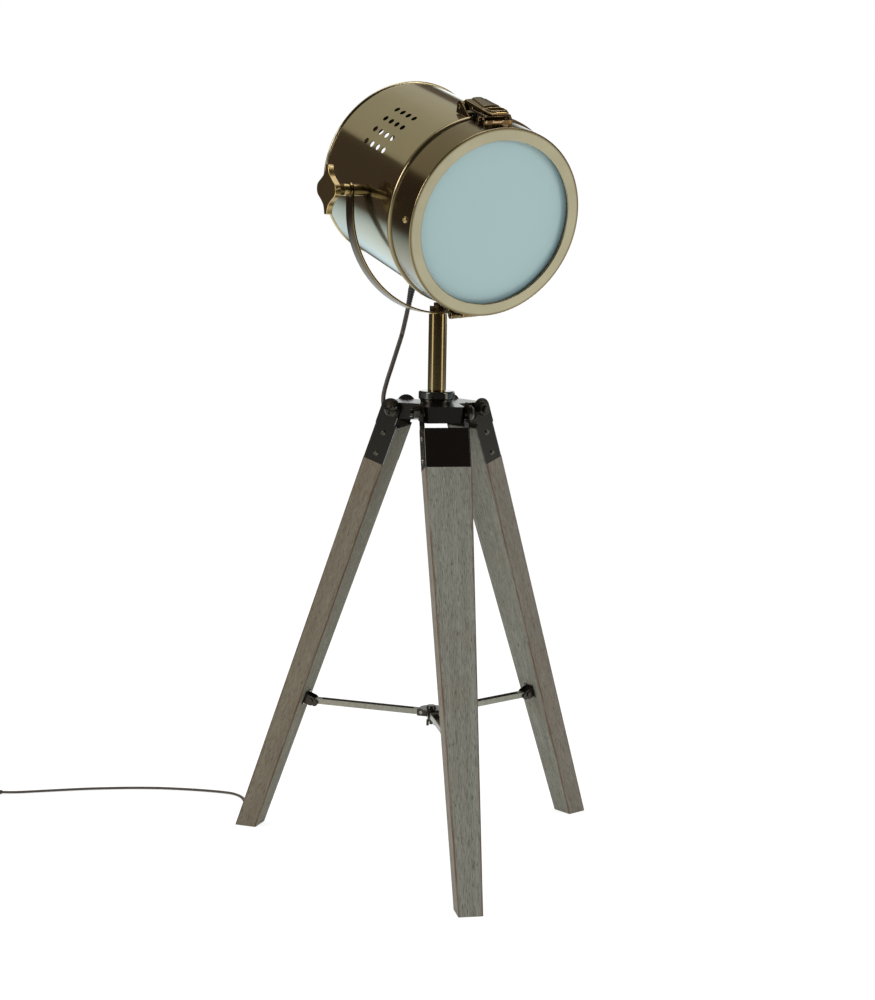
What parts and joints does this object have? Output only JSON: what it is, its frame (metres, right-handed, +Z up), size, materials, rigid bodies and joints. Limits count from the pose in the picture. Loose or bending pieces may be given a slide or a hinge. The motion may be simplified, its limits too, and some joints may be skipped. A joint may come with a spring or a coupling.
{
  "type": "tripod spotlight floor lamp",
  "caption": "Floor lamp with a drum-shaped spotlight head in a U-shaped yoke on a short pole, carried by a folding wooden tripod with metal stays; flat cord with switch and plug.",
  "frame": {"origin": "tripod axis at floor level", "axes": "+Z up along the pole, the front leg points along -Y"},
  "size_m": [0.8574, 0.5853, 0.8688],
  "materials": {
    "black_metal": "satin black powder coat",
    "black_gloss": "gloss black enamel",
    "antique_brass": "antiqued satin brass plating",
    "dark_bronze": "dark bronzed brass",
    "bezel_brass": "antiqued brass, brushed front lip",
    "grey_wood": "grey-washed pine, fine grain",
    "pale_steel": "zinc-plated",
    "dark_steel": "blackened",
    "frosted_glass": "frosted",
    "bulb_white": "opal",
    "black_rubber": "matte",
    "black_plastic": "moulded",
    "brown_cord": "flat twin flex"
  },
  "bodies": {
    "stand": {"hub": "black_metal", "hub_collar": "black_gloss", "pole": "antique_brass", "nipple": "antique_brass", "lock_nut": "antique_brass", "cord_floor": "brown_cord", "cord_coil": "brown_cord", "switch_body": "black_plastic", "plug": "black_plastic", "plug_pins": "pale_steel"},
    "yoke": {"yoke_strap": "dark_bronze", "yoke_washers": "antique_brass", "cord_drop": "brown_cord"},
    "knob_left": {"knob_left": "dark_bronze"},
    "knob_right": {"knob_right": "dark_bronze"},
    "head": {"drum": "antique_brass", "rear_bridge": "antique_brass", "lampholder": "black_plastic", "bulb": "bulb_white", "pivot_bosses": "dark_bronze", "cord_gland": "black_rubber", "latch_base": "dark_bronze", "hinge_leaf_drum": "dark_bronze", "hinge_pin": "dark_bronze"},
    "bezel": {"bezel": "bezel_brass", "glass": "frosted_glass", "glass_seal": "black_rubber", "glass_clips": "pale_steel", "bezel_screws": "dark_bronze", "hinge_leaf_bezel": "dark_bronze", "latch_keeper": "dark_bronze"},
    "latch_lever": {"latch_lever": "dark_bronze"},
    "latch_bail": {"latch_bail": "dark_bronze"},
    "stay_hub": {"stay_hub": "black_metal", "stay_pins": "pale_steel", "stay_nut": "dark_steel"},
    "switch_rocker": {"switch_rocker": "black_plastic"},
    "leg_front": {"leg_front": "grey_wood", "bracket_front": "black_metal", "hinge_bolt_front": "dark_steel", "hinge_nut_front": "dark_steel", "screws_front": "dark_steel", "stay_bracket_front": "black_metal"},
    "leg_left": {"leg_left": "grey_wood", "bracket_left": "black_metal", "hinge_bolt_left": "dark_steel", "hinge_nut_left": "dark_steel", "screws_left": "dark_steel", "stay_bracket_left": "black_metal", "cable_clips": "black_plastic", "cord_leg": "brown_cord"},
    "leg_right": {"leg_right": "grey_wood", "bracket_right": "black_metal", "hinge_bolt_right": "dark_steel", "hinge_nut_right": "dark_steel", "screws_right": "dark_steel", "stay_bracket_right": "black_metal"},
    "stay_front": {"stay_front": "pale_steel"},
    "stay_left": {"stay_left": "pale_steel"},
    "stay_right": {"stay_right": "pale_steel"}
  },
  "joints": [
    {"name": "yoke_pan", "type": "hinge", "parent": "stand", "child": "yoke", "pos_m": [0, 0, 0.613], "axis": [0, 0, 1], "range_deg": [-60, 60], "deforming": ["cord_drop"]},
    {"name": "head_tilt", "type": "hinge", "parent": "yoke", "child": "head", "pos_m": [0, 0, 0.7472], "axis": [0.9426, 0.3338, 0], "range_deg": [-22, 9]},
    {"name": "knob_left_turn", "type": "hinge", "parent": "yoke", "child": "knob_left", "pos_m": [0, 0, 0.7472], "axis": [-0.9426, -0.3338, 0], "range_deg": [-180, 180]},
    {"name": "knob_right_turn", "type": "hinge", "parent": "yoke", "child": "knob_right", "pos_m": [0, 0, 0.7472], "axis": [0.9426, 0.3338, 0], "range_deg": [-180, 180]},
    {"name": "leg_front_fold", "type": "hinge", "parent": "stand", "child": "leg_front", "pos_m": [0, -0.043, 0.5065], "axis": [1, 0, 0], "range_deg": [0, 12]},
    {"name": "leg_left_fold", "type": "hinge", "parent": "stand", "child": "leg_left", "pos_m": [-0.03724, 0.0215, 0.5065], "axis": [-0.5, -0.866, 0], "range_deg": [0, 12]},
    {"name": "leg_right_fold", "type": "hinge", "parent": "stand", "child": "leg_right", "pos_m": [0.03724, 0.0215, 0.5065], "axis": [-0.5, 0.866, 0], "range_deg": [0, 12]},
    {"name": "stay_hub_slide", "type": "slide", "parent": "stand", "child": "stay_hub", "axis": [0, 0, 1], "range_m": [0, 0.1045]},
    {"name": "stay_front_pivot", "type": "hinge", "parent": "stay_hub", "child": "stay_front", "pos_m": [0, -0.0105, 0.158], "axis": [1, 0, 0], "range_deg": [0, 73.3]},
    {"name": "stay_left_pivot", "type": "hinge", "parent": "stay_hub", "child": "stay_left", "pos_m": [-0.00909, 0.00525, 0.158], "axis": [-0.5, -0.866, 0], "range_deg": [0, 73.3]},
    {"name": "stay_right_pivot", "type": "hinge", "parent": "stay_hub", "child": "stay_right", "pos_m": [0.00909, 0.00525, 0.158], "axis": [-0.5, 0.866, 0], "range_deg": [0, 73.3]},
    {"name": "bezel_open", "type": "hinge", "parent": "head", "child": "bezel", "pos_m": [0.02133, -0.03578, 0.61462], "axis": [0.9466, 0.3153, 0.0672], "range_deg": [0, 60]},
    {"name": "latch_lever_turn", "type": "hinge", "parent": "head", "child": "latch_lever", "pos_m": [0.01962, -0.07808, 0.8372], "axis": [-0.9466, -0.3153, -0.0672], "range_deg": [0, 150]},
    {"name": "latch_bail_turn", "type": "hinge", "parent": "latch_lever", "child": "latch_bail", "pos_m": [0.02578, -0.09589, 0.83401], "axis": [-0.9466, -0.3153, -0.0672], "range_deg": [-1, 15]},
    {"name": "switch_press", "type": "hinge", "parent": "stand", "child": "switch_rocker", "pos_m": [-0.541, 0.268, 0.012], "axis": [0, 1, 0], "range_deg": [-14, 0]}
  ],
  "couplings": [
    {"joint": "leg_left_fold", "follows": "leg_front_fold", "ratio": 1},
    {"joint": "leg_right_fold", "follows": "leg_front_fold", "ratio": 1},
    {"joint": "stay_hub_slide", "follows": "leg_front_fold", "m_per_rad": 0.49847},
    {"joint": "stay_front_pivot", "follows": "leg_front_fold", "ratio": 6.1},
    {"joint": "stay_left_pivot", "follows": "leg_front_fold", "ratio": 6.1},
    {"joint": "stay_right_pivot", "follows": "leg_front_fold", "ratio": 6.1},
    {"joint": "latch_lever_turn", "follows": "bezel_open", "ratio": 2.5},
    {"joint": "latch_bail_turn", "follows": "bezel_open", "ratio": 0.25}
  ]
}
